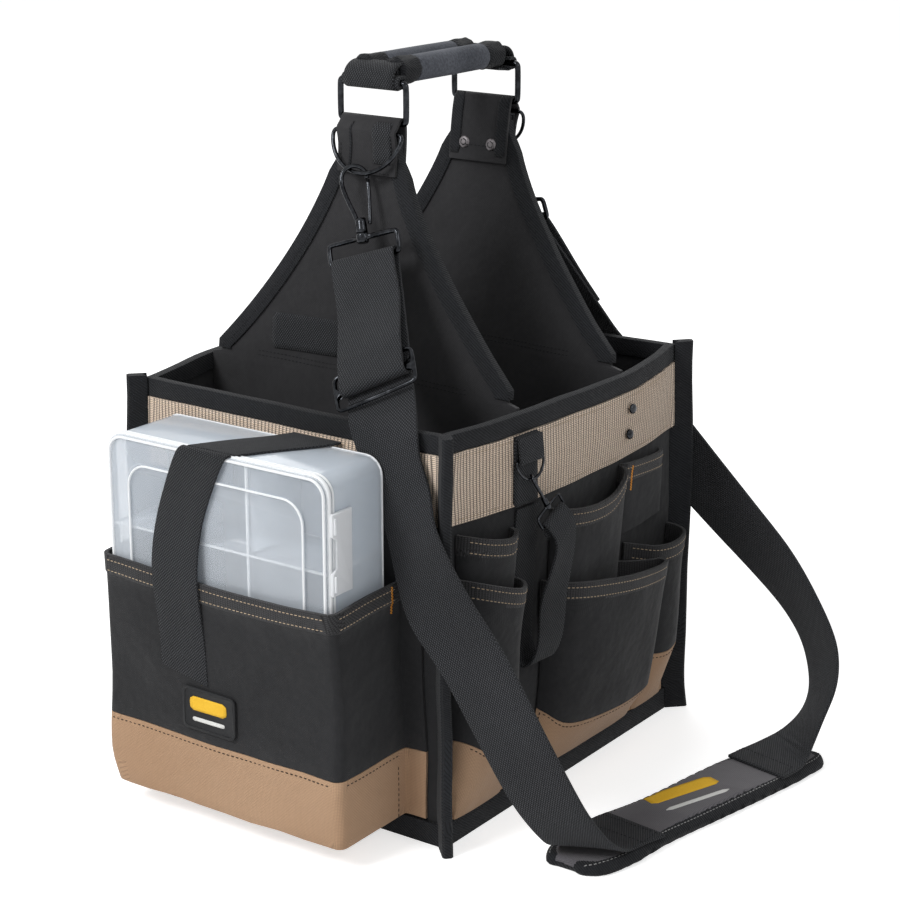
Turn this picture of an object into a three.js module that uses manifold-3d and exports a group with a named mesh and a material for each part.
// Open-top tool tote with a padded carry handle, clip-on shoulder strap and a slide-in parts box.
// Millimetres, +Z up. The origin is the middle of the bag's footprint on the floor.
// The parts-box pocket looks toward -Y, the five tool pockets look toward +X.
import * as THREE from "three";
import Module from "manifold-3d";
import { mergeVertices } from "three/addons/utils/BufferGeometryUtils.js";

const wasm = await Module();
wasm.setup();

// Body
const BODY_WIDTH = 238;
const BODY_DEPTH = 274;
const BODY_HEIGHT = 270;
const WALL = 3.5;
const SIDE_BOW = 14;
const END_BOW = 2;
const RIM_HEIGHT = 12;
const RIM_INSET = 1.5;
const BAND_HEIGHT = 46;
const BASE_HEIGHT = 15;
const TRIM = 2;
const FLANGE_REACH = 14;
const FLANGE_HALF = 3.5;
const GAP = 0.35;

// Handle panels, rings and grip
const FRONT_PANEL_Y = -62;
const REAR_PANEL_Y = 57;
const FRONT_LEAN = 0.0936;
const REAR_LEAN = 0.138;
const PANEL_HALF = 1.8;
const PANEL_NECK = 28;
const HANDLE_RISE = 167.5;
const EDGE_DEPTH = 11;
const EDGE_HALF = 3.2;
const TAB_WIDTH = 46;
const RING_WIDTH = 52;
const RING_HEIGHT = 26;
const RING_WIRE = 1.8;
const DRING_RADIUS = 27.5;
const DRING_WIRE = 1.4;
const GRIP_RADIUS = 8.5;
const GRIP_SPACING = 24;

// Shoulder strap and its hardware
const STRAP_WIDTH = 48;
const STRAP_THICK = 2.2;
const HOOK_WIRE = 1.6;
const LOOP_WIRE = 1.7;
const LOOP_HALF = 26.8;
const LOOP_DROP = 14;
const SLIDER_WIRE = 1.4;
const PAD_THICK = 8;

// Parts box and its pocket
const BOX_WIDTH = 175;
const BOX_HEIGHT = 233;
const BOX_DEPTH = 57;
const BOX_CORNER = 12;
const BOX_WALL = 1.6;
const BOX_SHIFT = -7.5;
const POCKET_FLOOR = 17;
const CLOTH = 2;

const HALF_W = BODY_WIDTH / 2;
const HALF_D = BODY_DEPTH / 2;
const RIM_LOW = BODY_HEIGHT - RIM_HEIGHT;
const WALL_TOP = RIM_LOW - GAP;
const RIM_IN = WALL + RIM_INSET;
const BAND_LOW = WALL_TOP - BAND_HEIGHT;

// Vector shorthand on plain arrays
const add3 = (a, b, k = 1) => [a[0] + b[0] * k, a[1] + b[1] * k, a[2] + b[2] * k];
const sub3 = (a, b) => add3(a, b, -1);
const dot3 = (a, b) => a[0] * b[0] + a[1] * b[1] + a[2] * b[2];
const cross3 = (a, b) => [
  a[1] * b[2] - a[2] * b[1],
  a[2] * b[0] - a[0] * b[2],
  a[0] * b[1] - a[1] * b[0],
];
const unit3 = (a) => {
  const size = Math.hypot(a[0], a[1], a[2]);
  return [a[0] / size, a[1] / size, a[2] / size];
};
const mix = (a, b, t) => a + (b - a) * t;
const mix3 = (a, b, t) => [mix(a[0], b[0], t), mix(a[1], b[1], t), mix(a[2], b[2], t)];
const clamp = (v, low, high) => Math.min(high, Math.max(low, v));
const smooth = (t) => t * t * (3 - 2 * t);

function spread(from, to, count) {
  const list = [];
  for (let i = 0; i <= count; i += 1) {
    list.push(mix(from, to, i / count));
  }
  return list;
}

// Straight-line lookup in a list of [position, value] pairs
function along(table, position) {
  if (position <= table[0][0]) {
    return table[0][1];
  }
  for (let i = 1; i < table.length; i += 1) {
    if (position <= table[i][0]) {
      const t = (position - table[i - 1][0]) / (table[i][0] - table[i - 1][0]);
      return mix(table[i - 1][1], table[i][1], t);
    }
  }
  return table[table.length - 1][1];
}

// Closed body from points and triangles, turned so that its faces look outward
function solid(points, faces) {
  let volume = 0;
  for (const [a, b, c] of faces) {
    volume += dot3(points[a], cross3(points[b], points[c]));
  }
  const index = [];
  for (const [a, b, c] of faces) {
    index.push(a, volume > 0 ? b : c, volume > 0 ? c : b);
  }
  const geometry = new THREE.BufferGeometry();
  geometry.setAttribute("position", new THREE.Float32BufferAttribute(points.flat(), 3));
  geometry.setIndex(index);
  return geometry;
}

// Thick cloth panel: point(u, v, side) gives its inner face at side 0 and its outer face at side 1
function sheet(us, vs, point) {
  const nu = us.length - 1;
  const nv = vs.length - 1;
  const points = [];
  const faces = [];
  const at = (i, j, side) => (side * (nu + 1) + i) * (nv + 1) + j;
  const quad = (a, b, c, d) => faces.push([a, b, c], [a, c, d]);
  for (let side = 0; side < 2; side += 1) {
    for (const u of us) {
      for (const v of vs) {
        points.push(point(u, v, side));
      }
    }
  }
  for (let i = 0; i < nu; i += 1) {
    for (let j = 0; j < nv; j += 1) {
      quad(at(i, j, 1), at(i + 1, j, 1), at(i + 1, j + 1, 1), at(i, j + 1, 1));
      quad(at(i, j, 0), at(i, j + 1, 0), at(i + 1, j + 1, 0), at(i + 1, j, 0));
    }
    quad(at(i + 1, 0, 1), at(i, 0, 1), at(i, 0, 0), at(i + 1, 0, 0));
    quad(at(i, nv, 1), at(i + 1, nv, 1), at(i + 1, nv, 0), at(i, nv, 0));
  }
  for (let j = 0; j < nv; j += 1) {
    quad(at(0, j, 1), at(0, j + 1, 1), at(0, j + 1, 0), at(0, j, 0));
    quad(at(nu, j + 1, 1), at(nu, j, 1), at(nu, j, 0), at(nu, j + 1, 0));
  }
  return solid(points, faces);
}

// Solid of one outline carried through steps; place(a, b, t) puts each outline point in space
function prism(outline, steps, place) {
  const flat = outline.map(([a, b]) => new THREE.Vector2(a, b));
  if (THREE.ShapeUtils.area(flat) < 0) {
    flat.reverse();
  }
  const count = flat.length;
  const points = [];
  const faces = [];
  for (const t of steps) {
    for (const p of flat) {
      points.push(place(p.x, p.y, t));
    }
  }
  for (let i = 0; i + 1 < steps.length; i += 1) {
    for (let k = 0; k < count; k += 1) {
      const a = i * count + k;
      const b = i * count + ((k + 1) % count);
      faces.push([a, b, b + count], [a, b + count, a + count]);
    }
  }
  const last = (steps.length - 1) * count;
  for (const [a, b, c] of THREE.ShapeUtils.triangulateShape(flat, [])) {
    faces.push([c, b, a], [a + last, b + last, c + last]);
  }
  return solid(points, faces);
}

// Round wire along a flat path; a closed path makes an endless ring
function wire(path, normal, radius, closed, sides = 8) {
  const points = [];
  const faces = [];
  const count = path.length;
  for (let i = 0; i < count; i += 1) {
    const before = path[closed ? (i + count - 1) % count : Math.max(0, i - 1)];
    const after = path[closed ? (i + 1) % count : Math.min(count - 1, i + 1)];
    const across = unit3(cross3(sub3(after, before), normal));
    for (let k = 0; k < sides; k += 1) {
      const angle = (2 * Math.PI * (k + 0.5)) / sides;
      const out = add3([0, 0, 0], across, Math.cos(angle) * radius);
      points.push(add3(add3(path[i], out), normal, Math.sin(angle) * radius));
    }
  }
  const spans = closed ? count : count - 1;
  for (let i = 0; i < spans; i += 1) {
    for (let k = 0; k < sides; k += 1) {
      const a = i * sides + k;
      const b = i * sides + ((k + 1) % sides);
      const c = ((i + 1) % count) * sides + ((k + 1) % sides);
      const d = ((i + 1) % count) * sides + k;
      faces.push([a, b, c], [a, c, d]);
    }
  }
  if (!closed) {
    const end = (count - 1) * sides;
    for (let k = 1; k + 1 < sides; k += 1) {
      faces.push([0, k + 1, k], [end, end + k, end + k + 1]);
    }
  }
  return solid(points, faces);
}

// Webbing between a left and a right edge; each station is [left, right]
function ribbon(stations, thick, perSpan = 4) {
  const curve = (side) => {
    const knots = stations.map((pair) => new THREE.Vector3(...pair[side]));
    return new THREE.CatmullRomCurve3(knots, false, "centripetal");
  };
  const left = curve(0);
  const right = curve(1);
  const spans = (stations.length - 1) * perSpan;
  return sheet(spread(0, 1, spans), [0, 1], (u, v, side) => {
    const l = left.getPoint(u).toArray();
    const r = right.getPoint(u).toArray();
    const go = add3(left.getTangent(u).toArray(), right.getTangent(u).toArray());
    const normal = unit3(cross3(sub3(r, l), go));
    return add3(mix3(l, r, v), normal, (side - 0.5) * thick);
  });
}

function toManifold(geometry) {
  const clean = geometry.clone();
  clean.deleteAttribute("normal");
  clean.deleteAttribute("uv");
  const merged = mergeVertices(clean, 1e-4);
  const mesh = new wasm.Mesh({
    numProp: 3,
    vertProperties: new Float32Array(merged.attributes.position.array),
    triVerts: new Uint32Array(merged.index.array),
  });
  return new wasm.Manifold(mesh);
}

function fromManifold(shape) {
  const mesh = shape.getMesh();
  const geometry = new THREE.BufferGeometry();
  geometry.setAttribute("position", new THREE.BufferAttribute(new Float32Array(mesh.vertProperties), 3));
  geometry.setIndex(new THREE.BufferAttribute(new Uint32Array(mesh.triVerts), 1));
  return geometry;
}

function joined(...pieces) {
  let whole = toManifold(pieces[0]);
  for (const piece of pieces.slice(1)) {
    whole = whole.add(toManifold(piece));
  }
  return fromManifold(whole);
}

function cutFrom(body, ...tools) {
  let whole = toManifold(body);
  for (const tool of tools) {
    whole = whole.subtract(toManifold(tool));
  }
  return fromManifold(whole);
}

function box(low, high) {
  const outline = [[low[0], low[1]], [high[0], low[1]], [high[0], high[1]], [low[0], high[1]]];
  return prism(outline, [low[2], high[2]], (a, b, t) => [a, b, t]);
}

function circle(radius, sides) {
  const list = [];
  for (let k = 0; k < sides; k += 1) {
    const angle = (2 * Math.PI * k) / sides;
    list.push([Math.cos(angle) * radius, Math.sin(angle) * radius]);
  }
  return list;
}

function roundedRect(width, height, corner, perCorner) {
  const list = [];
  for (let q = 0; q < 4; q += 1) {
    const cx = (q === 0 || q === 3 ? 1 : -1) * (width / 2 - corner);
    const cy = (q < 2 ? 1 : -1) * (height / 2 - corner);
    for (let k = 0; k <= perCorner; k += 1) {
      const angle = (Math.PI / 2) * (q + k / perCorner);
      list.push([cx + Math.cos(angle) * corner, cy + Math.sin(angle) * corner]);
    }
  }
  return list;
}

// Round bar between two points, with a radius for each of its stations
function bar(from, to, stations, sides = 14) {
  const axis = unit3(sub3(to, from));
  const helper = Math.abs(axis[2]) > 0.9 ? [1, 0, 0] : [0, 0, 1];
  const u = unit3(cross3(axis, helper));
  const v = cross3(axis, u);
  const length = Math.hypot(...sub3(to, from));
  const steps = stations.map((_, i) => i);
  return prism(circle(1, sides), steps, (a, b, i) => {
    const [t, radius] = stations[i];
    const centre = add3(from, axis, t * length);
    return add3(add3(centre, u, a * radius), v, b * radius);
  });
}

const tote = new THREE.Group();
tote.name = "tool_tote";

function place(name, geometry, color, roughness, metalness = 0, opacity = 1) {
  const material = new THREE.MeshStandardMaterial({ color, roughness, metalness });
  if (opacity < 1) {
    material.transparent = true;
    material.opacity = opacity;
  }
  const mesh = new THREE.Mesh(geometry, material);
  mesh.name = name;
  tote.add(mesh);
}

const BLACK_CLOTH = 0x1f2023;
const BINDING = 0x24272c;
const WEBBING = 0x26282b;
const TAN = 0xa68a6c;
const FOAM = 0x59606b;
const STEEL = 0x3c3f42;
const BRIGHT = 0xb9bcc0;
const CLEAR = 0xdfe7ec;

const cloth = (name, geometry, color = BLACK_CLOTH) => place(name, geometry, color, 0.93);
const metal = (name, geometry, color = STEEL) => place(name, geometry, color, 0.3, 0.9);
const plastic = (name, geometry) => place(name, geometry, CLEAR, 0.22, 0, 0.45);

// Walls bow outward toward the rim and run straight for a little way beside each corner
const STRAIGHT_END = 6;
const isSide = (face) => face === "right" || face === "left";
const bowReach = (face) => (isSide(face) ? HALF_D : HALF_W) - STRAIGHT_END;
function bow(face, s, z) {
  const amount = isSide(face) ? SIDE_BOW : END_BOW;
  return amount * Math.max(0, 1 - (s / bowReach(face)) ** 2) * clamp(z / BODY_HEIGHT, 0, 1);
}

// Point at a place along a wall, at a height, some way outside its outer face
function onWall(face, s, z, out) {
  const reach = bow(face, s, z) + out;
  if (face === "right") {
    return [HALF_W + reach, s, z];
  }
  if (face === "left") {
    return [-HALF_W - reach, s, z];
  }
  return face === "front" ? [s, -HALF_D - reach, z] : [s, HALF_D + reach, z];
}

// Places along a wall between two ends, close enough together to follow its bow
function wallPlaces(face, end) {
  const reach = bowReach(face);
  const middle = spread(-reach, reach, 12);
  return end > reach ? [-end, ...middle, end] : middle;
}
function wallSheet(face, places, levels, inner, outer) {
  return sheet(places, levels, (s, z, side) => onWall(face, s, z, side ? outer : inner));
}

const FRONT_END = HALF_W - WALL - GAP;
const WALL_LEVELS = [...spread(0, BAND_LOW, 5), WALL_TOP];
for (const face of ["right", "left", "front", "rear"]) {
  const end = isSide(face) ? HALF_D : FRONT_END;
  cloth(`wall_${face}`, wallSheet(face, wallPlaces(face, end), WALL_LEVELS, -WALL, 0));
}

const FLOOR_X = HALF_W - WALL - GAP;
const FLOOR_Y = HALF_D - WALL - GAP;
const FLOOR_TOP = 4;
const BOARD_TOP = 7.5;
cloth("floor_panel", box([-FLOOR_X, -FLOOR_Y, 0], [FLOOR_X, FLOOR_Y, FLOOR_TOP]));
place(
  "base_board",
  box([-FLOOR_X + 1, -FLOOR_Y + 1, FLOOR_TOP + GAP], [FLOOR_X - 1, FLOOR_Y - 1, BOARD_TOP]),
  0x17181a,
  0.7,
);

// One strip around all four walls, its corners closed outside the wall corners
function wallLoop(low, high, inner, outer) {
  const strips = ["right", "left", "front", "rear"].map((face) => {
    const end = isSide(face) ? HALF_D + outer : HALF_W + (inner + outer) / 2;
    return wallSheet(face, wallPlaces(face, end), [low, high], inner, outer);
  });
  return joined(...strips);
}
cloth("rim_binding", wallLoop(RIM_LOW, BODY_HEIGHT, -RIM_IN, RIM_INSET), BINDING);
cloth("base_binding", wallLoop(0, BASE_HEIGHT, GAP, GAP + TRIM), BINDING);

// Tan band below the rim, with two small rivets set into it beside the rear pockets
const BAND_OUT = GAP + TRIM;
const bandRivets = [245, 227].map((z) => {
  const height = (z * BODY_HEIGHT) / 270;
  const from = onWall("right", 57, height, BAND_OUT - 0.8);
  const to = onWall("right", 57, height, BAND_OUT + 2);
  return bar(from, to, [[0, 3.2], [0.7, 3], [1, 1.8]], 10);
});
cloth("upper_band", joined(wallLoop(BAND_LOW, WALL_TOP, GAP, BAND_OUT), ...bandRivets), TAN);

// Corner seams stand out diagonally and flare a little at the floor
const FLANGE_TOP = BODY_HEIGHT + 2;
function cornerFlange(sx, sy) {
  const root = GAP * Math.SQRT2;
  const clear = (TRIM + GAP) * Math.SQRT2;
  const outline = [
    [root, 0],
    [root - FLANGE_HALF, -FLANGE_HALF],
    [FLANGE_REACH - 1.5, -FLANGE_HALF],
    [FLANGE_REACH, -FLANGE_HALF + 1.5],
    [FLANGE_REACH, FLANGE_HALF - 1.5],
    [FLANGE_REACH - 1.5, FLANGE_HALF],
    [root - FLANGE_HALF, FLANGE_HALF],
  ];
  const overBase = BASE_HEIGHT + GAP;
  const underBand = BAND_LOW - GAP;
  const steps = [0, overBase, overBase + 2, 60, underBand - 2, underBand, FLANGE_TOP];
  return prism(outline, steps, (d, p, z) => {
    const rootSide = d < FLANGE_REACH / 2;
    const over = rootSide && (z <= overBase || z >= underBand) ? clear : 0;
    const flare = rootSide ? 0 : 3 * clamp(1 - z / 60, 0, 1) ** 2;
    const reached = d + over + flare;
    const x = sx * (HALF_W + (reached - sy * sx * p) / Math.SQRT2);
    const y = sy * (HALF_D + (reached + sy * sx * p) / Math.SQRT2);
    return [x, y, z];
  });
}
cloth("corner_front_right", cornerFlange(1, -1), BINDING);
cloth("corner_front_left", cornerFlange(-1, -1), BINDING);
cloth("corner_rear_right", cornerFlange(1, 1), BINDING);
cloth("corner_rear_left", cornerFlange(-1, 1), BINDING);

// Handle panels stand inside the bag, lean above the rim and narrow to the ring tabs
const PANELS = {
  front: { foot: FRONT_PANEL_Y, angle: Math.atan(FRONT_LEAN), face: -1 },
  rear: { foot: REAR_PANEL_Y, angle: Math.atan(REAR_LEAN), face: 1 },
};

// Point on a handle panel: across, up from the rim along the panel, and out from its middle
function onPanel(panel, x, up, out) {
  const angle = up > 0 ? panel.angle : 0;
  const y = panel.foot + Math.max(0, up) * Math.sin(angle) + out * panel.face * Math.cos(angle);
  const z = BODY_HEIGHT + up * Math.cos(angle) - out * panel.face * Math.sin(angle);
  return [x, y, z];
}

const SHOULDER_UP = 11;
const NECK_UP = 145;
const PANEL_TOP = HANDLE_RISE - 9.5;
const SHOULDER_HALF = HALF_W - 1;

// Half width of the bound outline above the rim
function outlineHalf(up) {
  const t = clamp((up - SHOULDER_UP) / (NECK_UP - SHOULDER_UP), 0, 1);
  return PANEL_NECK + (SHOULDER_HALF - PANEL_NECK) * (1 - t) ** 1.4;
}

const EDGE_WEB = 1.3;
const WALL_CLEAR = GAP * 2;
const OVER_RIM = 1.2;
function panelHalf(panel, up) {
  const lean = bow("right", panel.foot, BODY_HEIGHT + Math.min(0, up));
  if (up <= -RIM_HEIGHT - GAP * 2) {
    return HALF_W - WALL + lean - WALL_CLEAR;
  }
  if (up <= OVER_RIM) {
    return HALF_W - RIM_IN + lean - WALL_CLEAR;
  }
  const slope = (outlineHalf(up + 1) - outlineHalf(up - 1)) / 2;
  return outlineHalf(up) - (EDGE_WEB + GAP) * Math.hypot(1, slope);
}

const PANEL_FOOT = BOARD_TOP + GAP - BODY_HEIGHT;
const NECK_LEVELS = spread(SHOULDER_UP, NECK_UP, 12);
const PANEL_LEVELS = [
  PANEL_FOOT,
  -BODY_HEIGHT / 2,
  -RIM_HEIGHT - GAP * 2,
  -RIM_HEIGHT,
  0,
  OVER_RIM,
  OVER_RIM + 2,
  ...NECK_LEVELS,
  PANEL_TOP,
];
const EDGE_LEVELS = [OVER_RIM + 4, ...NECK_LEVELS, PANEL_TOP - 3];

function handlePanel(panel) {
  return sheet([-1, -0.5, 0, 0.5, 1], PANEL_LEVELS, (u, up, side) => {
    return onPanel(panel, u * panelHalf(panel, up), up, side ? PANEL_HALF : -PANEL_HALF);
  });
}

// Binding folded over the panel's edge, up one side, across the top and down the other
function panelEdge(panel) {
  const slot = PANEL_HALF + GAP;
  const outline = [
    [0, -EDGE_HALF],
    [0, EDGE_HALF],
    [EDGE_DEPTH, EDGE_HALF],
    [EDGE_DEPTH, slot],
    [EDGE_WEB, slot],
    [EDGE_WEB, -slot],
    [EDGE_DEPTH, -slot],
    [EDGE_DEPTH, -EDGE_HALF],
  ];
  const sides = [1, -1].map((sign) => {
    return prism(outline, EDGE_LEVELS, (depth, out, up) => {
      const rise = 2;
      const run = outlineHalf(up + rise) - outlineHalf(Math.max(EDGE_LEVELS[0], up - rise));
      const length = Math.hypot(run, 2 * rise);
      const inX = (-2 * rise) / length;
      const inUp = run / length;
      return onPanel(panel, sign * (outlineHalf(up) + inX * depth), up + inUp * depth, out);
    });
  });
  const top = PANEL_TOP + GAP + EDGE_WEB;
  const across = prism(outline, [-PANEL_NECK, PANEL_NECK], (depth, out, x) => {
    return onPanel(panel, x, top - Math.min(depth, 8), out);
  });
  return joined(...sides, across);
}

cloth("handle_panel_front", handlePanel(PANELS.front));
cloth("handle_panel_rear", handlePanel(PANELS.rear));
cloth("panel_edge_front", panelEdge(PANELS.front), BINDING);
cloth("panel_edge_rear", panelEdge(PANELS.rear), BINDING);

// Ring tab: a strip over the ring's lower bar, holding the D-ring in front of the panel
const TAB_THICK = 1.8;
const LAYER_OUT = EDGE_HALF + GAP + TAB_THICK / 2;
const DRING_OUT = EDGE_HALF + GAP + DRING_WIRE;
const DRING_UP = HANDLE_RISE - 6;
function tabPath() {
  const path = [[LAYER_OUT, HANDLE_RISE - 33], [LAYER_OUT, HANDLE_RISE - 18], [LAYER_OUT + 1, HANDLE_RISE - 12]];
  const around = DRING_WIRE + GAP + TAB_THICK / 2;
  for (const angle of [-25, 5, 35, 60]) {
    const a = (angle * Math.PI) / 180;
    path.push([DRING_OUT + around * Math.cos(a), DRING_UP + around * Math.sin(a)]);
  }
  const wrap = RING_WIRE + GAP * 1.7 + TAB_THICK / 2;
  for (const angle of [0, 30, 60, 90, 120, 150, 180]) {
    const a = (angle * Math.PI) / 180;
    path.push([wrap * Math.cos(a), HANDLE_RISE + wrap * Math.sin(a)]);
  }
  path.push([-LAYER_OUT, HANDLE_RISE - 8], [-LAYER_OUT, HANDLE_RISE - 25], [-LAYER_OUT, HANDLE_RISE - 42]);
  return path;
}

// Strip of given thickness along a path in a plane; put(a, b, across) sets it in space
function strip(path, thick, put) {
  const last = path.length - 1;
  const us = path.map((_, i) => i);
  return sheet(us, [-1, 1], (i, v, side) => {
    const before = path[Math.max(0, i - 1)];
    const after = path[Math.min(last, i + 1)];
    const length = Math.hypot(after[0] - before[0], after[1] - before[1]);
    const offset = ((side - 0.5) * thick) / length;
    const a = path[i][0] + (after[1] - before[1]) * offset;
    const b = path[i][1] - (after[0] - before[0]) * offset;
    return put(a, b, v);
  });
}

// The tab carries its two rivet heads on the side toward the middle of the bag
function ringTab(panel) {
  const layers = strip(tabPath(), TAB_THICK, (out, up, v) => onPanel(panel, (v * TAB_WIDTH) / 2, up, out));
  const rivets = [-11, 11].map((x) => {
    const up = HANDLE_RISE - 30;
    const from = onPanel(panel, x, up, -LAYER_OUT);
    const to = onPanel(panel, x, up, -LAYER_OUT - TAB_THICK / 2 - 1.5);
    return bar(from, to, [[0, 3.6], [0.8, 3.4], [1, 2.2]], 12);
  });
  return joined(layers, ...rivets);
}
cloth("tab_front", ringTab(PANELS.front));
cloth("tab_rear", ringTab(PANELS.rear));

// Rectangular rings stand on the tabs and carry the grip
function ringPivot(panel) {
  return onPanel(panel, 0, HANDLE_RISE, 0);
}
function handleRing(panel) {
  const [, y, z] = ringPivot(panel);
  const path = roundedRect(RING_WIDTH, RING_HEIGHT, 3, 3).map(([a, b]) => [a, y, z + RING_HEIGHT / 2 + b]);
  return wire(path, [0, 1, 0], RING_WIRE, true);
}
metal("ring_front", handleRing(PANELS.front));
metal("ring_rear", handleRing(PANELS.rear));

// D-rings hang from their bars and lean out with the pull of the strap
const DRING_LEAN = (21 * Math.PI) / 180;
function dringFrame(panel) {
  return {
    origin: onPanel(panel, 0, DRING_UP, DRING_OUT),
    down: [0, panel.face * Math.sin(DRING_LEAN), -Math.cos(DRING_LEAN)],
  };
}
function dringOutline(radius) {
  const path = [[-radius * 0.86, 0], [0, 0], [radius * 0.86, 0], [radius * 0.95, radius * 0.03]];
  for (let k = 0; k <= 16; k += 1) {
    const angle = ((7 + (166 * k) / 16) * Math.PI) / 180;
    path.push([radius * Math.cos(angle), radius * Math.sin(angle)]);
  }
  path.push([-radius * 0.95, radius * 0.03]);
  return path;
}
function dring(panel) {
  const { origin, down } = dringFrame(panel);
  const path = dringOutline(DRING_RADIUS).map(([a, b]) => add3(add3(origin, [1, 0, 0], a), down, b));
  return wire(path, cross3([1, 0, 0], down), DRING_WIRE, true);
}
metal("dring_front", dring(PANELS.front));
metal("dring_rear", dring(PANELS.rear));

// Grip: belt loops over the ring tops and two foam tubes between dark end caps
const BELT_WIDTH = 45;
const GRIP_RISE = 6;
const CAP_LENGTH = 20;
const frontPivot = ringPivot(PANELS.front);
const rearPivot = ringPivot(PANELS.rear);
const BELT_THICK = 2;
const BELT_WRAP = RING_WIRE + GAP + BELT_THICK / 2;
const GRIP_START = frontPivot[1] + BELT_WRAP + BELT_THICK / 2 + 0.6;
const GRIP_END = rearPivot[1] - BELT_WRAP - BELT_THICK / 2 - 0.6;
const gripLevel = (y) => {
  const t = (y - frontPivot[1]) / (rearPivot[1] - frontPivot[1]);
  return mix(frontPivot[2], rearPivot[2], t) + RING_HEIGHT + GRIP_RISE;
};
function beltLoop(pivot, inward, end) {
  const y = pivot[1];
  const z = pivot[2] + RING_HEIGHT;
  const path = [[end, z + BELT_WRAP]];
  for (let k = 0; k <= 8; k += 1) {
    const angle = Math.PI / 2 + (Math.PI * k) / 8;
    path.push([y + inward * BELT_WRAP * Math.cos(angle), z + BELT_WRAP * Math.sin(angle)]);
  }
  path.push([end, z - BELT_WRAP]);
  return strip(path, BELT_THICK, (b, c, v) => [(v * BELT_WIDTH) / 2, b, c]);
}
const CORE_RADIUS = 5;
function handleBelt() {
  const from = frontPivot[1] + BELT_WRAP;
  const to = rearPivot[1] - BELT_WRAP;
  const cores = [-1, 1].map((k) => {
    const x = (k * GRIP_SPACING) / 2;
    return bar([x, from, gripLevel(from)], [x, to, gripLevel(to)], [[0, CORE_RADIUS], [1, CORE_RADIUS]], 12);
  });
  const loops = [beltLoop(frontPivot, 1, GRIP_START - GAP), beltLoop(rearPivot, -1, GRIP_END + GAP)];
  return joined(...loops, ...cores);
}
cloth("handle_belt", handleBelt(), WEBBING);

// Tube around a belt core, between two places along the handle
function sleeve(x, from, to, profile) {
  const outer = bar([x, from, gripLevel(from)], [x, to, gripLevel(to)], profile, 18);
  const bore = CORE_RADIUS + GAP;
  const past = Math.sign(to - from) * 2;
  const start = from - past;
  const end = to + past;
  const core = bar([x, start, gripLevel(start)], [x, end, gripLevel(end)], [[0, bore], [1, bore]], 12);
  return cutFrom(outer, core);
}
// Each end of the grip is gathered into one dark cap over both tubes
function gripCap(from, to) {
  const profile = [[0, GRIP_RADIUS - 1.5], [0.12, GRIP_RADIUS + 0.6], [0.9, GRIP_RADIUS + 0.6], [1, GRIP_RADIUS]];
  const tubes = [-1, 1].map((k) => sleeve((k * GRIP_SPACING) / 2, from, to, profile));
  const low = Math.min(from, to) + 3;
  const high = Math.max(from, to) - 4;
  const z = gripLevel((from + to) / 2);
  const half = GRIP_SPACING / 2 - GRIP_RADIUS + 1;
  return joined(...tubes, box([-half, low, z - 3], [half, high, z + 3]));
}
cloth("grip_cap_front", gripCap(GRIP_START, GRIP_START + CAP_LENGTH), BINDING);
cloth("grip_cap_rear", gripCap(GRIP_END, GRIP_END - CAP_LENGTH), BINDING);
function foamGrip(x) {
  const profile = [[0, GRIP_RADIUS], [0.5, GRIP_RADIUS + 0.2], [1, GRIP_RADIUS]];
  return sleeve(x, GRIP_START + CAP_LENGTH + GAP, GRIP_END - CAP_LENGTH - GAP, profile);
}
place("grip_near", foamGrip(GRIP_SPACING / 2), FOAM, 0.85);
place("grip_far", foamGrip(-GRIP_SPACING / 2), FOAM, 0.85);

// Swivel snap hook: frame with its origin at the swivel, the eye above and the strap loop below
function snapFrame(hub, eye, turn, scale) {
  const axis = unit3(sub3(eye, hub));
  const level = unit3(add3([1, 0, 0], axis, -dot3([1, 0, 0], axis)));
  const side = cross3(axis, level);
  const wide = add3(add3([0, 0, 0], level, Math.cos(turn)), side, Math.sin(turn));
  return { hub, axis, level, wide, scale };
}
const snapPoint = (f, a, b) => add3(add3(f.hub, f.wide, a * f.scale), f.axis, b * f.scale);

const EYE_TOP = 47;
function snapHook(f, radius, sides) {
  const boss = bar(snapPoint(f, 0, 2.9), snapPoint(f, 0, 12.5), [[0, 3.9 * f.scale], [1, 3.5 * f.scale]], 12);
  const outline = [
    [-1.8, 9],
    [-3.6, 16],
    [-7.4, 26],
    [-9.6, 35],
    [-9.6, 40],
    [-7.6, 44.4],
    [-4, EYE_TOP - 0.3],
    [0, EYE_TOP],
    [3.8, EYE_TOP - 1.4],
    [6.3, 42.4],
    [7, 38],
  ];
  const path = outline.map(([a, b]) => snapPoint(f, a, b));
  return joined(boss, wire(path, cross3(f.wide, f.axis), radius, false, sides));
}
function snapGate(f, radius, sides) {
  const outline = [[5.6, 8.6], [6.2, 16], [7, 26], [7.2, 37.4 - (radius * 0.25) / f.scale]];
  const path = outline.map(([a, b]) => snapPoint(f, a, b));
  return wire(path, cross3(f.wide, f.axis), radius, false, sides);
}
function snapSwivel(f, halfWidth, drop, radius, corner, sides) {
  const barrel = bar(
    add3(f.hub, f.axis, -3.2 * f.scale),
    add3(f.hub, f.axis, 2.4 * f.scale),
    [[0, 3.4 * f.scale], [0.3, 4.2 * f.scale], [1, 4.2 * f.scale]],
    12,
  );
  const path = roundedRect(halfWidth * 2, drop, corner, 3).map(([a, b]) => {
    return add3(add3(f.hub, f.level, a), f.axis, b - drop / 2);
  });
  return joined(barrel, wire(path, cross3(f.level, f.axis), radius, true, sides));
}

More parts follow.
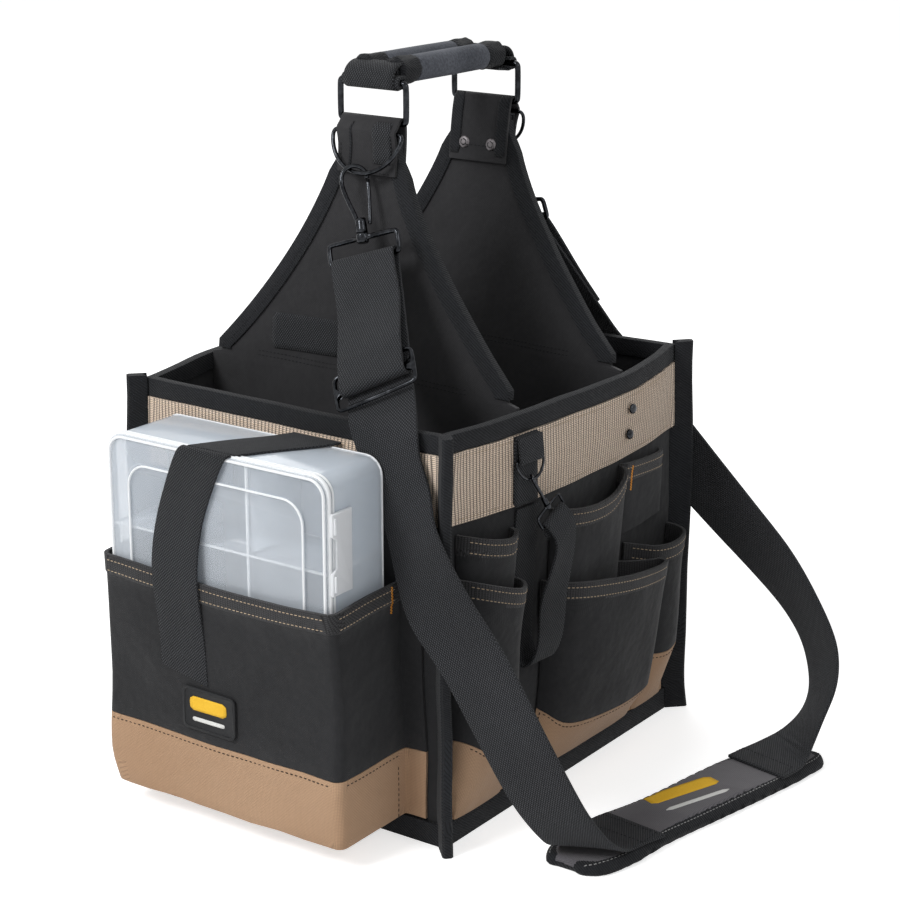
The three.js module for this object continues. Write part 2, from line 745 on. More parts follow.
const TURN = (34 * Math.PI) / 180;
function eyeCentre(panel, slide) {
  const { origin, down } = dringFrame(panel);
  const drop = Math.sqrt(DRING_RADIUS ** 2 - slide ** 2);
  return add3(add3(origin, down, drop), [1, 0, 0], slide);
}
const HOOK_DROP = 42.3;
function strapSnap(panel, slide, lean, turn) {
  const eye = eyeCentre(panel, slide);
  const hub = add3(eye, unit3(lean), HOOK_DROP);
  return snapFrame(hub, eye, turn, 1);
}
const frontSnap = strapSnap(PANELS.front, -3, [13.6, -11, -38.9], TURN);
const rearSnap = strapSnap(PANELS.rear, -1, [8, 7, -39], -TURN);
metal("snap_hook_front", snapHook(frontSnap, HOOK_WIRE, 8));
metal("snap_hook_rear", snapHook(rearSnap, HOOK_WIRE, 8));
metal("snap_gate_front", snapGate(frontSnap, HOOK_WIRE * 0.8, 8));
metal("snap_gate_rear", snapGate(rearSnap, HOOK_WIRE * 0.8, 8));
metal("snap_swivel_front", snapSwivel(frontSnap, LOOP_HALF, LOOP_DROP, LOOP_WIRE, 2.6, 8));
metal("snap_swivel_rear", snapSwivel(rearSnap, LOOP_HALF, LOOP_DROP, LOOP_WIRE, 2.6, 8));

// Shoulder strap. A run leaves the loop bar as two layers and crosses the rim as one
const WRAP = LOOP_WIRE + GAP + STRAP_THICK / 2;
const RIM_CREST = BODY_HEIGHT + GAP + STRAP_THICK / 2 + 0.6;
function strapRun(f, crest) {
  const centre = add3(f.hub, f.axis, -LOOP_DROP);
  const target = mix3(crest[0], crest[1], 0.5);
  const toward = sub3(target, centre);
  const go = unit3(add3(toward, f.level, -dot3(toward, f.level)));
  let out = cross3(f.level, go);
  if (out[2] < 0) {
    out = add3([0, 0, 0], out, -1);
  }
  const start = [-1, 1].map((k) => add3(add3(centre, f.level, (k * STRAP_WIDTH) / 2), out, -WRAP));
  const edge = (side, t) => mix3(start[side], crest[side], t);
  const length = Math.hypot(...sub3(target, centre));
  return { centre, go, out, start, edge, length, level: f.level };
}
// Pair of edge points on a run; skew slides one edge ahead of the other
function runPair(run, t, skew, lift) {
  return [0, 1].map((side) => {
    const p = run.edge(side, t + (side === 0 ? skew : -skew));
    return add3(p, run.out, lift);
  });
}
function wrapPair(run, angle) {
  const back = add3([0, 0, 0], run.go, -Math.sin(angle) * WRAP);
  const lift = -Math.cos(angle) * WRAP;
  return [-1, 1].map((k) => {
    const p = add3(run.centre, run.level, (k * STRAP_WIDTH) / 2);
    return add3(add3(p, back), run.out, lift);
  });
}

const frontCrest = [
  [HALF_W - 66, -HALF_D - 5.5, RIM_CREST],
  [HALF_W - 14, -HALF_D - 5.5, RIM_CREST],
];
const frontRun = strapRun(frontSnap, frontCrest);

// Slider frame lies between the two layers of the front run
const SLIDER_AT = 0.76;
const SLIDER_SKEW = 0.1;
const SLIDER_LIFT = STRAP_THICK * 1.5 + GAP * 3 + SLIDER_WIRE;
const FOLD = SLIDER_WIRE + GAP * 2 + STRAP_THICK / 2;
const sliderPair = runPair(frontRun, SLIDER_AT, SLIDER_SKEW, SLIDER_LIFT);
const sliderCentre = mix3(sliderPair[0], sliderPair[1], 0.5);
const sliderAcross = unit3(sub3(sliderPair[1], sliderPair[0]));
const sliderAlong = unit3(cross3(frontRun.out, sliderAcross));
const SLIDER_LENGTH = 25;
const SLIDER_HALF = STRAP_WIDTH / 2 + 3.4;
function sliderFrame() {
  const at = (a, b) => add3(add3(sliderCentre, sliderAcross, a), sliderAlong, b);
  const normal = cross3(sliderAcross, sliderAlong);
  const ring = roundedRect(SLIDER_HALF * 2, SLIDER_LENGTH, 4, 3).map(([a, b]) => at(a, b));
  const middle = wire([at(-SLIDER_HALF, 0), at(SLIDER_HALF, 0)], normal, SLIDER_WIRE, false);
  return joined(wire(ring, normal, SLIDER_WIRE, true), middle);
}
metal("strap_slider", sliderFrame());

// Edge stations of the front run from the rim down the corner to the pad, measured from the corner
const nearCorner = (dx, dy, z) => [HALF_W + dx, -HALF_D + dy, (z * BODY_HEIGHT) / 270];
const FRONT_DROP = [
  [nearCorner(-60, -6, 252), nearCorner(-12, -7.5, 257)],
  [nearCorner(-49, -6, 229), nearCorner(-5, -8, 240)],
  [nearCorner(-43, -6, 215), nearCorner(0, -12, 229)],
  [nearCorner(-36.5, -6.3, 199), nearCorner(5.5, -15.5, 216)],
  [nearCorner(-17, -14.5, 155), nearCorner(28, -15.5, 181)],
  [nearCorner(10, -15, 125), nearCorner(53, -14, 150)],
  [nearCorner(38, -11, 79), nearCorner(80, -11, 105)],
  [nearCorner(56, -4, 45), nearCorner(95, -5, 74)],
  [nearCorner(68, 6, 24), nearCorner(104, 6, 47)],
  [nearCorner(67, 20, 13.5), nearCorner(109, 26, 22)],
];
const padLevel = PAD_THICK + GAP + STRAP_THICK / 2;
FRONT_DROP.push(
  [[HALF_W + 64, -HALF_D + 40, padLevel + 0.6], [HALF_W + 109, -HALF_D + 44, padLevel + 1.4]],
  [[HALF_W + 64, -HALF_D + 62, padLevel], [HALF_W + 111, -HALF_D + 60, padLevel]],
  [[HALF_W + 69, -HALF_D + 84, padLevel], [HALF_W + 116, -HALF_D + 78, padLevel]],
);
function frontStrap() {
  const stations = [];
  const foldAt = (t, lift) => stations.push(runPair(frontRun, t, SLIDER_SKEW, lift));
  const step = 1 / frontRun.length;
  foldAt(SLIDER_AT - 9 * step, SLIDER_LIFT - FOLD);
  foldAt(SLIDER_AT, SLIDER_LIFT - FOLD);
  foldAt(SLIDER_AT + FOLD * 0.71 * step, SLIDER_LIFT - FOLD * 0.71);
  foldAt(SLIDER_AT + FOLD * step, SLIDER_LIFT);
  foldAt(SLIDER_AT + FOLD * 0.71 * step, SLIDER_LIFT + FOLD * 0.71);
  foldAt(SLIDER_AT, SLIDER_LIFT + FOLD);
  foldAt(SLIDER_AT - 13 * step, SLIDER_LIFT + FOLD);
  foldAt(SLIDER_AT - 20 * step, SLIDER_LIFT + FOLD);
  stations.push(runPair(frontRun, SLIDER_AT - 0.4, SLIDER_SKEW * 0.7, 4.6));
  stations.push(runPair(frontRun, SLIDER_AT - 0.5, SLIDER_SKEW * 0.35, 4.2));
  stations.push(runPair(frontRun, 0.08, 0, WRAP * 2 - 0.2));
  for (const angle of [180, 150, 120, 90, 60, 30, 0]) {
    stations.push(wrapPair(frontRun, (angle * Math.PI) / 180));
  }
  stations.push(runPair(frontRun, 0.3, 0, 0));
  stations.push(runPair(frontRun, 0.65, 0, 0));
  stations.push(runPair(frontRun, 0.9, 0, 0.2));
  stations.push([add3(frontCrest[0], [0, -1.5, -1]), add3(frontCrest[1], [0, -1.5, -1])]);
  stations.push(...FRONT_DROP);
  return ribbon(stations, STRAP_THICK, 3);
}
cloth("strap_front", frontStrap(), WEBBING);

const rearCorner = (dx, dy, z) => [HALF_W + dx, HALF_D + dy, (z * BODY_HEIGHT) / 270];
const rearCrest = [
  [HALF_W - 99, HALF_D + 5.5, RIM_CREST],
  [HALF_W - 50, HALF_D + 5.5, RIM_CREST],
];
const rearRun = strapRun(rearSnap, rearCrest);
const REAR_DROP = [
  [rearCorner(-82, 11, 246), rearCorner(-35, 10, 256)],
  [rearCorner(-60, 14, 214), rearCorner(-17, 12, 236)],
  [rearCorner(-29, 18, 180), rearCorner(5, 14, 214)],
  [rearCorner(-3, 18, 158), rearCorner(34, 12, 188)],
  [rearCorner(30, 18, 132), rearCorner(65, 8, 162)],
  [rearCorner(57, 20, 110), rearCorner(95, 4, 136)],
  [rearCorner(82, 21, 88), rearCorner(119, -1, 108)],
  [rearCorner(98, 19, 69), rearCorner(136, -7, 84)],
  [rearCorner(107, 15, 50), rearCorner(142, -13, 68)],
  [rearCorner(111, 9, 35), rearCorner(144, -21, 54)],
  [rearCorner(110, 0, 23), rearCorner(142, -31, 38)],
  [rearCorner(104, -14, 13.5), rearCorner(140, -42, 21)],
  [[HALF_W + 97, HALF_D - 36, padLevel + 0.5], [HALF_W + 140, HALF_D - 52, padLevel + 1.5]],
  [[HALF_W + 93, HALF_D - 52, padLevel], [HALF_W + 139, HALF_D - 64, padLevel]],
  [[HALF_W + 90, HALF_D - 68, padLevel], [HALF_W + 137, HALF_D - 78, padLevel]],
];
function rearStrap() {
  const stations = [runPair(rearRun, 0.75, 0, STRAP_THICK + GAP * 2), runPair(rearRun, 0.5, 0, 3.4)];
  stations.push(runPair(rearRun, 0.15, 0, WRAP * 2 - 0.2));
  for (const angle of [180, 150, 120, 90, 60, 30, 0]) {
    stations.push(wrapPair(rearRun, (angle * Math.PI) / 180));
  }
  stations.push(runPair(rearRun, 0.35, 0, 0));
  stations.push(runPair(rearRun, 0.8, 0, 0.1));
  stations.push([add3(rearCrest[0], [0, 1.5, -1]), add3(rearCrest[1], [0, 1.5, -1])]);
  stations.push(...REAR_DROP);
  return ribbon(stations, STRAP_THICK, 3);
}
cloth("strap_rear", rearStrap(), WEBBING);

// Shoulder pad lies flat on the floor beside the bag, its far edge first
const PAD_EDGES = [
  [[HALF_W + 66, -HALF_D + 17], [HALF_W + 93, -HALF_D + 15]],
  [[HALF_W + 60, -HALF_D + 27], [HALF_W + 104, -HALF_D + 23]],
  [[HALF_W + 58, -HALF_D + 50], [HALF_W + 112, -HALF_D + 45]],
  [[HALF_W + 60, -HALF_D + 76], [HALF_W + 117, -HALF_D + 84]],
  [[HALF_W + 71, -20], [HALF_W + 125, -12]],
  [[HALF_W + 85, HALF_D - 73], [HALF_W + 137, HALF_D - 88]],
  [[HALF_W + 98, HALF_D - 38], [HALF_W + 143, HALF_D - 42]],
  [[HALF_W + 104, HALF_D - 28], [HALF_W + 142, HALF_D - 27]],
  [[HALF_W + 115, HALF_D - 23], [HALF_W + 135, HALF_D - 22]],
];
function shoulderPad() {
  const curve = (side) => {
    const knots = PAD_EDGES.map((pair) => new THREE.Vector3(pair[side][0], pair[side][1], 0));
    return new THREE.CatmullRomCurve3(knots, false, "centripetal");
  };
  const far = curve(0);
  const near = curve(1);
  return sheet(spread(0, 1, 32), [0, 0.07, 0.5, 0.93, 1], (u, v, side) => {
    const p = mix3(far.getPoint(u).toArray(), near.getPoint(u).toArray(), v);
    const rim = v === 0 || v === 1 || u === 0 || u === 1;
    const z = side ? PAD_THICK * (rim ? 0.55 : 1) : 0;
    return [p[0], p[1], z];
  });
}
cloth("shoulder_pad", shoulderPad(), BLACK_CLOTH);

// Parts box standing in the front pocket, lid toward the front, clear of the strap behind its corner
const BOX_BACK = -HALF_D - END_BOW - TRIM - STRAP_THICK - GAP * 4 - 1;
const BOX_FRONT = BOX_BACK - BOX_DEPTH;
const BOX_LOW = POCKET_FLOOR + CLOTH + GAP * 2;
const BOX_TOP = BOX_LOW + BOX_HEIGHT;
const BOX_MID_Z = (BOX_LOW + BOX_TOP) / 2;
const BOX_LEFT = BOX_SHIFT - BOX_WIDTH / 2;
const BOX_RIGHT = BOX_SHIFT + BOX_WIDTH / 2;
const LID_DEPTH = 6;
const LID_BACK = BOX_FRONT + LID_DEPTH;
function boxPrism(inset, from, to) {
  const outline = roundedRect(BOX_WIDTH - inset * 2, BOX_HEIGHT - inset * 2, BOX_CORNER - inset, 4);
  return prism(outline, [from, to], (a, b, y) => [BOX_SHIFT + a, y, BOX_MID_Z + b]);
}
const TRAY_FRONT = LID_BACK + GAP;
plastic(
  "box_tray",
  cutFrom(boxPrism(0, TRAY_FRONT, BOX_BACK), boxPrism(BOX_WALL, TRAY_FRONT - 5, BOX_BACK - BOX_WALL)),
);
function boxLid() {
  const shell = cutFrom(boxPrism(0, BOX_FRONT + 0.9, LID_BACK), boxPrism(BOX_WALL, BOX_FRONT + 2.4, LID_BACK + 5));
  const outer = roundedRect(BOX_WIDTH - 32, BOX_HEIGHT - 32, 14, 4);
  const inner = roundedRect(BOX_WIDTH - 38, BOX_HEIGHT - 38, 11, 4);
  const lift = (a, b, y) => [BOX_SHIFT + a, y, BOX_MID_Z + b];
  const ridge = cutFrom(
    prism(outer, [BOX_FRONT, BOX_FRONT + 1.6], lift),
    prism(inner, [BOX_FRONT - 2, BOX_FRONT + 3], lift),
  );
  return joined(shell, ridge);
}
plastic("box_lid", boxLid());

// Two shelves crossed by two uprights make nine compartments
const DIVIDER = 1.2;
const SHELVES = [BOX_LOW + BOX_HEIGHT * 0.335, BOX_LOW + BOX_HEIGHT * 0.74];
const UPRIGHTS = [BOX_LEFT + BOX_WIDTH * 0.325, BOX_LEFT + BOX_WIDTH * 0.64];
function boxDividers() {
  const back = BOX_BACK - BOX_WALL - GAP;
  const front = TRAY_FRONT + 0.8;
  const side = BOX_WALL + GAP;
  const half = DIVIDER / 2;
  const shelves = SHELVES.map((z) => {
    return box([BOX_LEFT + side, front, z - half], [BOX_RIGHT - side, back, z + half]);
  });
  const uprights = UPRIGHTS.map((x) => {
    return box([x - half, front, BOX_LOW + side], [x + half, back, BOX_TOP - side]);
  });
  return joined(...shelves, ...uprights);
}
plastic("box_dividers", boxDividers());

// Side latches turn on upright pins at their rear edge
const LATCH_HEIGHT = 52;
const LATCH_REAR = TRAY_FRONT + 16;
const LATCH_FRONT = BOX_FRONT + 3.2;
const LATCH_THICK = 2.6;
function latch(z) {
  const half = LATCH_HEIGHT / 2;
  const x = BOX_RIGHT + GAP;
  const outline = [
    [LATCH_REAR, -half],
    [LATCH_REAR, half],
    [LATCH_FRONT, half],
    [LATCH_FRONT, half * 0.45],
    [LATCH_FRONT + 4, half * 0.35],
    [LATCH_FRONT + 4, -half * 0.35],
    [LATCH_FRONT, -half * 0.45],
    [LATCH_FRONT, -half],
  ];
  const plate = prism(outline, [x, x + LATCH_THICK], (y, dz, t) => [t, y, z + dz]);
  const lip = box([x + 1, LATCH_FRONT + 1, z - half * 0.9], [x + LATCH_THICK + 1.4, LATCH_FRONT + 3, z - half * 0.5]);
  const lipTop = box([x + 1, LATCH_FRONT + 1, z + half * 0.5], [x + LATCH_THICK + 1.4, LATCH_FRONT + 3, z + half * 0.9]);
  return joined(plate, lip, lipTop);
}
const LATCH_UPPER_Z = BOX_LOW + BOX_HEIGHT * 0.795;
const LATCH_LOWER_Z = BOX_LOW + BOX_HEIGHT * 0.205;
plastic("latch_upper", latch(LATCH_UPPER_Z));
plastic("latch_lower", latch(LATCH_LOWER_Z));

// Pocket around the parts box: rear seam, side gusset, front and back again
const POCKET_FRONT = BOX_FRONT - 3.2;
const HEM = 168;
const BOOT = 62;
const POCKET_RIGHT = BOX_RIGHT + 9;
const POCKET_LEFT = BOX_LEFT - 4.5;

// Sheet through rows of plan points; thick(j) gives the cloth at each row
function planSheet(rows, thick, put) {
  const count = rows[0].length;
  const us = rows[0].map((_, i) => i);
  const vs = rows.map((_, j) => j);
  const heading = (from, to) => unit3([to[0] - from[0], to[1] - from[1], 0]);
  return sheet(us, vs, (i, j, side) => {
    const row = rows[j];
    const onward = heading(row[Math.min(count - 2, i)], row[Math.min(count - 1, i + 1)]);
    const inward = i === 0 ? onward : heading(row[i - 1], row[i]);
    const tangent = unit3(add3(inward, onward));
    const bend = Math.max(0.6, dot3(tangent, onward));
    const offset = (side * thick(j)) / bend;
    return put(row[i][0] - tangent[1] * offset, row[i][1] + tangent[0] * offset, row[i][2]);
  });
}

// Plan of the box pocket at a height, as [along, out from the wall plane, height]
function boxPocketRow(z, top) {
  const tuck = 6 * clamp(1 - (z - POCKET_FLOOR) / 20, 0, 1) ** 2;
  const right = POCKET_RIGHT - 4 * clamp((z - BOOT) / (HEM - BOOT), 0, 1);
  const left = POCKET_LEFT + tuck;
  const reach = -HALF_D - POCKET_FRONT - CLOTH;
  const corner = 5;
  const seat = GAP;
  const row = [[right + 18, seat], [right + 4, seat], [right + 1.2, seat + 1.2], [right, seat + 4], [right, reach * 0.55]];
  for (let k = 0; k <= 4; k += 1) {
    const angle = (Math.PI * k) / 8;
    row.push([right - corner + corner * Math.cos(angle), reach - corner + corner * Math.sin(angle)]);
  }
  for (const t of [0.25, 0.5, 0.75]) {
    row.push([mix(right - corner, left + corner, t), reach + 0.01]);
  }
  for (let k = 0; k <= 4; k += 1) {
    const angle = Math.PI / 2 + (Math.PI * k) / 8;
    row.push([left + corner + corner * Math.cos(angle), reach - corner + corner * Math.sin(angle)]);
  }
  row.push([left, reach * 0.55], [left, seat + 4], [left - 1.2, seat + 1.2], [left - 4, seat], [left - 9, seat]);
  const raised = row.map(([s, out]) => {
    const gusset = top * (3 * (1 - clamp(out / reach, 0, 1)) + (Math.abs(s) / 60) ** 2);
    return [s, out, z + gusset];
  });
  return raised.reverse();
}
// Seated plan points follow the bow of the wall, free ones stay in the pocket's own planes
function onPocket(s, out, z) {
  const seated = clamp(1 - (out - GAP) / 20, 0, 1);
  return [s, -HALF_D - out - seated * bow("front", s, z), z];
}
const hemSteps = (low, high) => [low, mix(low, high, 0.5), high - 13, high - 12, high];
const hemThick = (j) => (j > 2 ? CLOTH + 0.8 : CLOTH);
cloth(
  "box_pocket",
  planSheet(hemSteps(BOOT + GAP, HEM).map((z, j) => boxPocketRow(z, j > 1 ? 1 : 0)), hemThick, onPocket),
);

// The pocket's floor reaches into the foot of its sides
function boxPocketFloor() {
  const row = boxPocketRow(POCKET_FLOOR, 0).slice(4, -4);
  const middle = (POCKET_LEFT + POCKET_RIGHT) / 2;
  const lap = 0.9;
  const outline = row.map(([s, out]) => [s + lap * clamp((s - middle) / 10, -1, 1), out + lap]);
  outline.unshift([outline[0][0], GAP + TRIM + GAP]);
  outline.push([outline[outline.length - 1][0], GAP + TRIM + GAP]);
  return prism(outline, [POCKET_FLOOR, POCKET_FLOOR + CLOTH], (s, out, z) => [s, -HALF_D - out, z]);
}
const bootRows = [POCKET_FLOOR, 30, 45, BOOT].map((z) => boxPocketRow(z, 0));
cloth("box_pocket_boot", joined(planSheet(bootRows, () => CLOTH, onPocket), boxPocketFloor()), TAN);

// Raised rubber patch on the pocket, with a rim and plain bars
const PATCH_FACE = POCKET_FRONT - GAP;
function patch() {
  const lift = (a, b, y) => [-11.5 + a, y, 84.5 + b];
  const base = prism(roundedRect(43, 29, 4, 3), [PATCH_FACE, PATCH_FACE - 1.2], lift);
  const outer = prism(roundedRect(43, 29, 4, 3), [PATCH_FACE - 0.6, PATCH_FACE - 1.9], lift);
  const inner = prism(roundedRect(39, 25, 3, 3), [PATCH_FACE, PATCH_FACE - 3], lift);
  return joined(base, cutFrom(outer, inner));
}
place("pocket_patch", patch(), 0x17181a, 0.6);

// Hook-and-loop strap over the parts box: a sewn part on top and a flap that hangs in front
const BOX_STRAP_THICK = 1.6;
const strapLevel = BOX_TOP + GAP + BOX_STRAP_THICK / 2;
const strapFront = BOX_FRONT - GAP - BOX_STRAP_THICK / 2;
const BOX_STRAP_TOP = [
  [[8, -HALF_D - END_BOW - TRIM - GAP - 1.2, strapLevel + 1], [46, -HALF_D - END_BOW - TRIM - GAP - 1.2, strapLevel + 1]],
  [[0, BOX_BACK - 8, strapLevel + 0.1], [38, BOX_BACK - 8, strapLevel + 0.1]],
  [[-16, BOX_BACK - 30, strapLevel], [22, BOX_BACK - 30, strapLevel]],
  [[-30, BOX_FRONT + 3.5, strapLevel], [8, BOX_FRONT + 3.5, strapLevel]],
];
cloth("box_strap", ribbon(BOX_STRAP_TOP, BOX_STRAP_THICK, 3), WEBBING);
const outsidePocket = POCKET_FRONT - GAP - BOX_STRAP_THICK / 2;
const BOX_STRAP_FLAP = [
  [[-32, BOX_FRONT + 2.6, strapLevel], [6, BOX_FRONT + 2.6, strapLevel]],
  [[-33, BOX_FRONT + 0.2, strapLevel - 0.3], [5, BOX_FRONT + 0.2, strapLevel - 0.3]],
  [[-35, strapFront, strapLevel - 3], [3, strapFront, strapLevel - 3]],
  [[-45, strapFront, 228], [-8, strapFront, 228]],
  [[-54, strapFront - 0.4, 200], [-17, strapFront - 0.4, 202]],
  [[-55, outsidePocket - 0.9, 174], [-18, outsidePocket - 0.9, 174]],
  [[-53, outsidePocket - 0.9, 150], [-16, outsidePocket - 0.9, 150]],
  [[-51, outsidePocket, 130], [-14, outsidePocket, 130]],
  [[-50, outsidePocket, 108], [-12, outsidePocket, 101]],
];
cloth("box_strap_flap", ribbon(BOX_STRAP_FLAP, BOX_STRAP_THICK, 3), WEBBING);

// Tool pockets. Each is two plans over the same points: at the hem and at the foot
function toolPocket(face, plan, boot) {
  const rowAt = (v) => plan.hem.map(([s, out], i) => {
    const [footS, footOut] = plan.foot[i];
    const fill = Math.min(1, v * 3.4) * 0.82 + v * 0.18;
    const low = along(plan.footLine, s);
    const high = along(plan.hemLine, s);
    return [mix(footS, s, smooth(clamp(v * 1.3, 0, 1))), mix(footOut, out, fill), mix(low, high, v)];
  });
  const split = plan.split;
  const levels = boot ? [0, split * 0.45, split] : [split, mix(split, 1, 0.45), 0.88, 0.9, 1];
  const rows = levels.map((v) => rowAt(v));
  if (boot && plan.swell) {
    rows[2] = rows[2].map(([s, out, z]) => [s, out, z + along(plan.swell, s)]);
  }
  if (!boot && plan.swell) {
    rows[0] = rows[0].map(([s, out, z]) => [s, out, z + along(plan.swell, s)]);
  }
  if (!boot && split > 0) {
    rows[0] = rows[0].map(([s, out, z]) => [s, out, z + GAP]);
  }
  const thick = (j) => (!boot && j > 2 ? CLOTH + 0.6 : CLOTH);
  return planSheet(rows, thick, (s, out, z) => onWall(face, s, z, out));
}

// Rounded plan between two seams: depth at the middle, squareness toward the corners
function bay(low, high, depth, square, seat, count = 10) {
  const list = [];
  for (let k = 0; k <= count; k += 1) {
    const angle = (Math.PI * k) / count;
    const c = Math.cos(angle);
    const s = Math.sin(angle);
    const half = (high - low) / 2;
    const across = (low + high) / 2 - half * Math.sign(c) * Math.abs(c) ** (2 / square);
    list.push([across, seat + depth * Math.abs(s) ** (2 / square)]);
  }
  return list;
}
const SEAT = GAP * 1.7;
const NEAR = -HALF_D;
const upperLeft = {
  hem: bay(NEAR + 12, NEAR + 58, 9, 3, SEAT),
  foot: bay(NEAR + 13, NEAR + 57, 1.4, 3, SEAT),
  hemLine: [[NEAR + 8, 206], [NEAR + 30, 199], [NEAR + 50, 195], [NEAR + 60, 199]],
  footLine: [[NEAR, 116], [0, 116]],
  split: 0,
};
const lowerLeft = {
  hem: bay(NEAR + 7.5, NEAR + 60, 20, 2.8, SEAT),
  foot: bay(NEAR + 9, NEAR + 60, 1.6, 2.4, SEAT),
  hemLine: [[NEAR + 8, 178], [NEAR + 30, 170], [NEAR + 50, 164], [NEAR + 64, 166]],
  footLine: [[NEAR, 16], [0, 16]],
  split: 0.27,
  swell: [[NEAR + 10, 10], [NEAR + 28, -2], [NEAR + 50, -6], [NEAR + 64, 2]],
};
const upperRight = {
  hem: [...bay(-33, 51, 13, 2.6, SEAT), ...bay(53, 112, 4.5, 3, SEAT, 6)],
  foot: [...bay(-32, 51, 1.8, 2.6, SEAT), ...bay(53, 112, 1.4, 3, SEAT, 6)],
  hemLine: [[-44, 201], [-8, 196], [24, 194], [40, 203], [54, 208], [112, 202]],
  footLine: [[-60, 108], [51, 108], [53, 157], [120, 157]],
  split: 0,
};
const lowerRight = {
  hem: [
    [-40, SEAT], [-36, 10.5], [-27, 17.5], [-12, 22.5], [10, 26], [34, 28], [58, 28.6],
    [74, 28], [80, 26], [80.5, 22], [72, 16], [61, 8.5], [54.5, 3],
  ],
  foot: [
    [-36, SEAT], [-33, 1.2], [-24, 1.8], [-10, 2], [10, 2], [34, 2], [56, 2],
    [68, 2], [73, 1.9], [76, 1.7], [78, 1.4], [79.5, 1], [81, SEAT],
  ],
  hemLine: [[-40, 152], [-22, 150], [16, 143], [50, 138], [78, 135], [84, 137]],
  footLine: [[-60, 16], [120, 16]],
  split: 0.25,
  swell: [[-38, 12], [-26, -1], [0, -4], [50, -3], [78, -1], [82, 8]],
};
const farRight = {
  hem: [
    [63.5, SEAT], [69, 4.4], [76, 9.6], [84, 15.6], [94, 20], [106, 22], [119, 20.5],
    [125, 16], [127.5, 8], [128, SEAT],
  ],
  foot: [
    [87, SEAT], [88.5, 1], [90, 1.4], [93, 1.6], [99, 1.8], [108, 2], [117, 1.8],
    [122, 1.6], [125, 1.2], [127, SEAT],
  ],
  hemLine: [[60, 150], [84, 143], [110, 141], [131, 143]],
  footLine: [[-60, 16], [131, 16]],
  split: 0.34,
  swell: [[84, 2], [108, -1], [128, 3]],
};
cloth("tool_pocket_upper_front", toolPocket("right", upperLeft, false));
cloth("tool_pocket_lower_front", toolPocket("right", lowerLeft, false));
cloth("tool_pocket_upper_rear", toolPocket("right", upperRight, false));
cloth("tool_pocket_lower_middle", toolPocket("right", lowerRight, false));
cloth("tool_pocket_lower_rear", toolPocket("right", farRight, false));
const BOOT_STRIP_END = HALF_D - STRAIGHT_END;
const bootStrip = wallSheet("right", wallPlaces("right", BOOT_STRIP_END), [16, 42], GAP, GAP + 1.6);
const boots = [lowerLeft, lowerRight, farRight].map((plan) => toolPocket("right", plan, true));
cloth("tool_pocket_boots", joined(bootStrip, ...boots), TAN);

// Three plain pockets in one sheet on the side the picture does not show
const sideBays = (depth) => [
  ...bay(-HALF_D + 10, -HALF_D + 90, depth, 3, SEAT, 8),
  ...bay(-HALF_D + 93, HALF_D - 93, depth, 3, SEAT, 8),
  ...bay(HALF_D - 90, HALF_D - 10, depth, 3, SEAT, 8),
];
const sidePlan = {
  hem: sideBays(17),
  foot: sideBays(1.6),
  hemLine: [[-HALF_D, 150], [HALF_D, 150]],
  footLine: [[-HALF_D, 16], [HALF_D, 16]],
  split: 0,
};
cloth("side_pockets", toolPocket("left", sidePlan, false));

// Lanyard: tab and D-ring under the rim, a snap hook and a loop of narrow webbing
const LANYARD_WIDTH = 23;
const LANYARD_S = -62;
const LANYARD_THICK = 1.6;
const SMALL_WIRE = 1.1;
const tabIn = BAND_OUT + GAP + LANYARD_THICK / 2;
const tabWrap = SMALL_WIRE + GAP + LANYARD_THICK / 2;
const smallBarOut = tabIn + tabWrap;
const smallBarZ = WALL_TOP - 16;
const TAB_S = LANYARD_S - 4;
function lanyardTab() {
  const path = [[tabIn, WALL_TOP - 1], [tabIn, smallBarZ]];
  for (const angle of [210, 240, 270, 300, 330]) {
    const a = (angle * Math.PI) / 180;
    path.push([smallBarOut + tabWrap * Math.cos(a), smallBarZ + tabWrap * Math.sin(a)]);
  }
  path.push([smallBarOut + tabWrap, smallBarZ], [tabIn + 3, WALL_TOP - 7], [tabIn + 2.2, WALL_TOP - 1]);
  return strip(path, LANYARD_THICK, (out, z, v) => onWall("right", TAB_S + (v * LANYARD_WIDTH) / 2, z, out));
}
cloth("lanyard_tab", lanyardTab(), WEBBING);

const smallBar = onWall("right", TAB_S, smallBarZ, smallBarOut);
const wallAlong = unit3(sub3(onWall("right", TAB_S + 10, smallBarZ, 0), onWall("right", TAB_S - 10, smallBarZ, 0)));
const SMALL_RADIUS = 13.5;
const smallDown = unit3([0.22, 0, -1]);
function smallRing() {
  const path = dringOutline(SMALL_RADIUS).map(([a, b]) => {
    return add3(add3(smallBar, wallAlong, a), smallDown, b);
  });
  return wire(path, unit3(cross3(wallAlong, smallDown)), SMALL_WIRE, true, 6);
}
metal("lanyard_ring", smallRing());

const SNAP_SCALE = 0.52;
const smallEye = add3(smallBar, smallDown, SMALL_RADIUS);
const smallHub = add3(smallEye, unit3([6, 9, -20]), HOOK_DROP * SNAP_SCALE - 0.6);
const smallSnap = snapFrame(smallHub, smallEye, 0, SNAP_SCALE);
const smallAcross = unit3(add3(wallAlong, smallSnap.axis, -dot3(wallAlong, smallSnap.axis)));
smallSnap.level = smallAcross;
const smallSide = cross3(smallSnap.axis, smallAcross);
smallSnap.wide = add3(add3([0, 0, 0], smallAcross, 0.72), smallSide, 0.694);
const SMALL_HOOK_WIRE = 1;
const SMALL_LOOP_HALF = 13.4;
const SMALL_DROP = 8.5;
metal("lanyard_gate", snapGate(smallSnap, SMALL_HOOK_WIRE * 0.85, 6));
const smallNeck = bar(
  add3(smallSnap.hub, smallSnap.axis, 0),
  snapPoint(smallSnap, 0, 6),
  [[0, 3 * SNAP_SCALE], [1, 3 * SNAP_SCALE]],
  8,
);
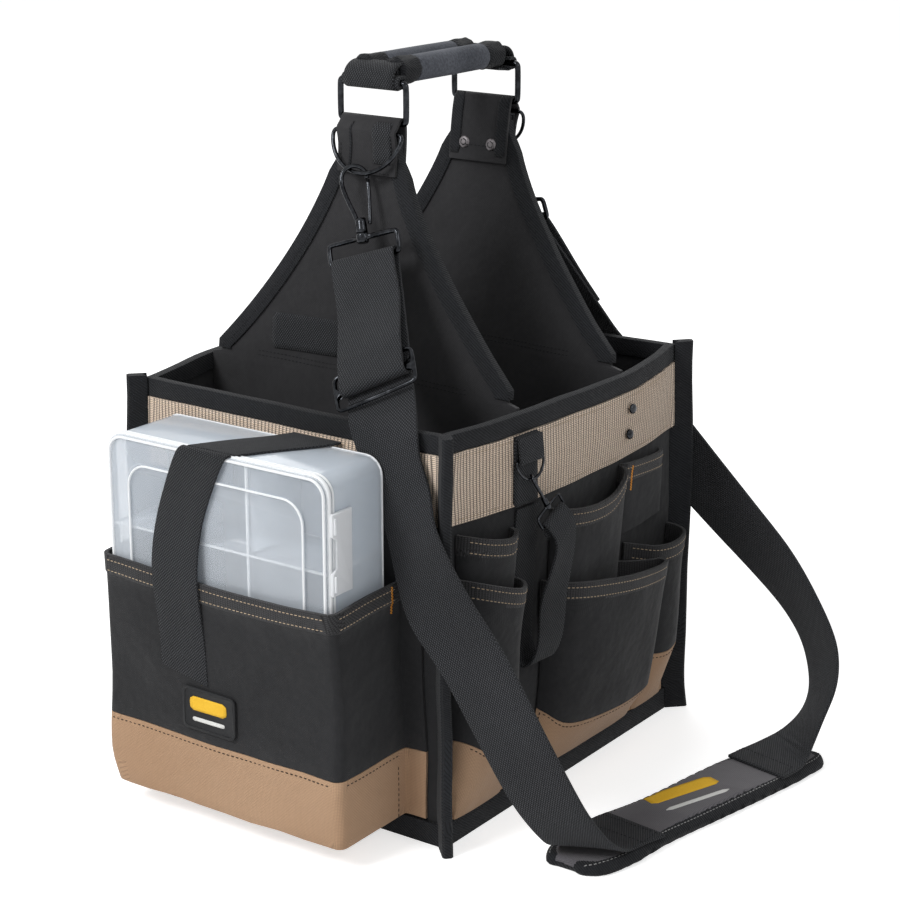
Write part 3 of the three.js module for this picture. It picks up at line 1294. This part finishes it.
metal(
  "lanyard_hook",
  joined(
    snapHook(smallSnap, SMALL_HOOK_WIRE, 6),
    smallNeck,
    snapSwivel(smallSnap, SMALL_LOOP_HALF, SMALL_DROP, SMALL_WIRE, 2, 6),
  ),
);

// Narrow webbing: flat down the wall, round at the bottom and up to the swivel loop
function lanyardWebbing() {
  const across = (s, z, out, turn) => [-1, 1].map((k) => {
    const middle = onWall("right", s, z, out);
    const half = (k * LANYARD_WIDTH) / 2;
    return [middle[0] + half * Math.sin(turn), middle[1] + half * Math.cos(turn), middle[2]];
  });
  const flat = (z, out) => [-1, 1].map((k) => {
    return onWall("right", LANYARD_S + (k * LANYARD_WIDTH) / 2, z, out);
  });
  const stations = [flat(BAND_LOW - 3, 3.2), flat(190, 2), flat(160, 1.8), flat(135, 1.8)];
  stations.push(across(LANYARD_S, 116, 2.6, 0.02), across(LANYARD_S + 1, 106, 7, 0.04));
  stations.push(across(LANYARD_S + 2, 104, 13, 0.08), across(LANYARD_S + 3, 110, 19, 0.12));
  stations.push(across(LANYARD_S + 4, 126, 22.5, 0.16), across(LANYARD_S + 4, 150, 22.5, 0.2));
  const barPoint = add3(smallSnap.hub, smallSnap.axis, -SMALL_DROP);
  const wrap = SMALL_WIRE + GAP + LANYARD_THICK / 2;
  const wrapAt = (angle) => {
    const centre = add3(
      add3(barPoint, smallSide, Math.cos(angle) * wrap),
      smallSnap.axis,
      Math.sin(angle) * wrap,
    );
    return [-1, 1].map((k) => add3(centre, smallAcross, (k * LANYARD_WIDTH) / 2));
  };
  const front = smallSide[0] > 0 ? 0 : Math.PI;
  const turn = front === 0 ? 1 : -1;
  const low = [-1, 1].map((k, i) => {
    const p = wrapAt(front)[i];
    return add3(add3(p, smallSnap.axis, -14), [1, 0, 0], 1.5);
  });
  stations.push(low);
  for (const k of [0, 1, 2, 3, 4, 5, 6]) {
    stations.push(wrapAt(front + (turn * Math.PI * k) / 6));
  }
  const end = wrapAt(front + turn * Math.PI);
  stations.push(end.map((p) => add3(p, smallSnap.axis, -9)));
  return ribbon(stations, LANYARD_THICK, 2);
}
cloth("lanyard_webbing", lanyardWebbing(), WEBBING);

export default tote;
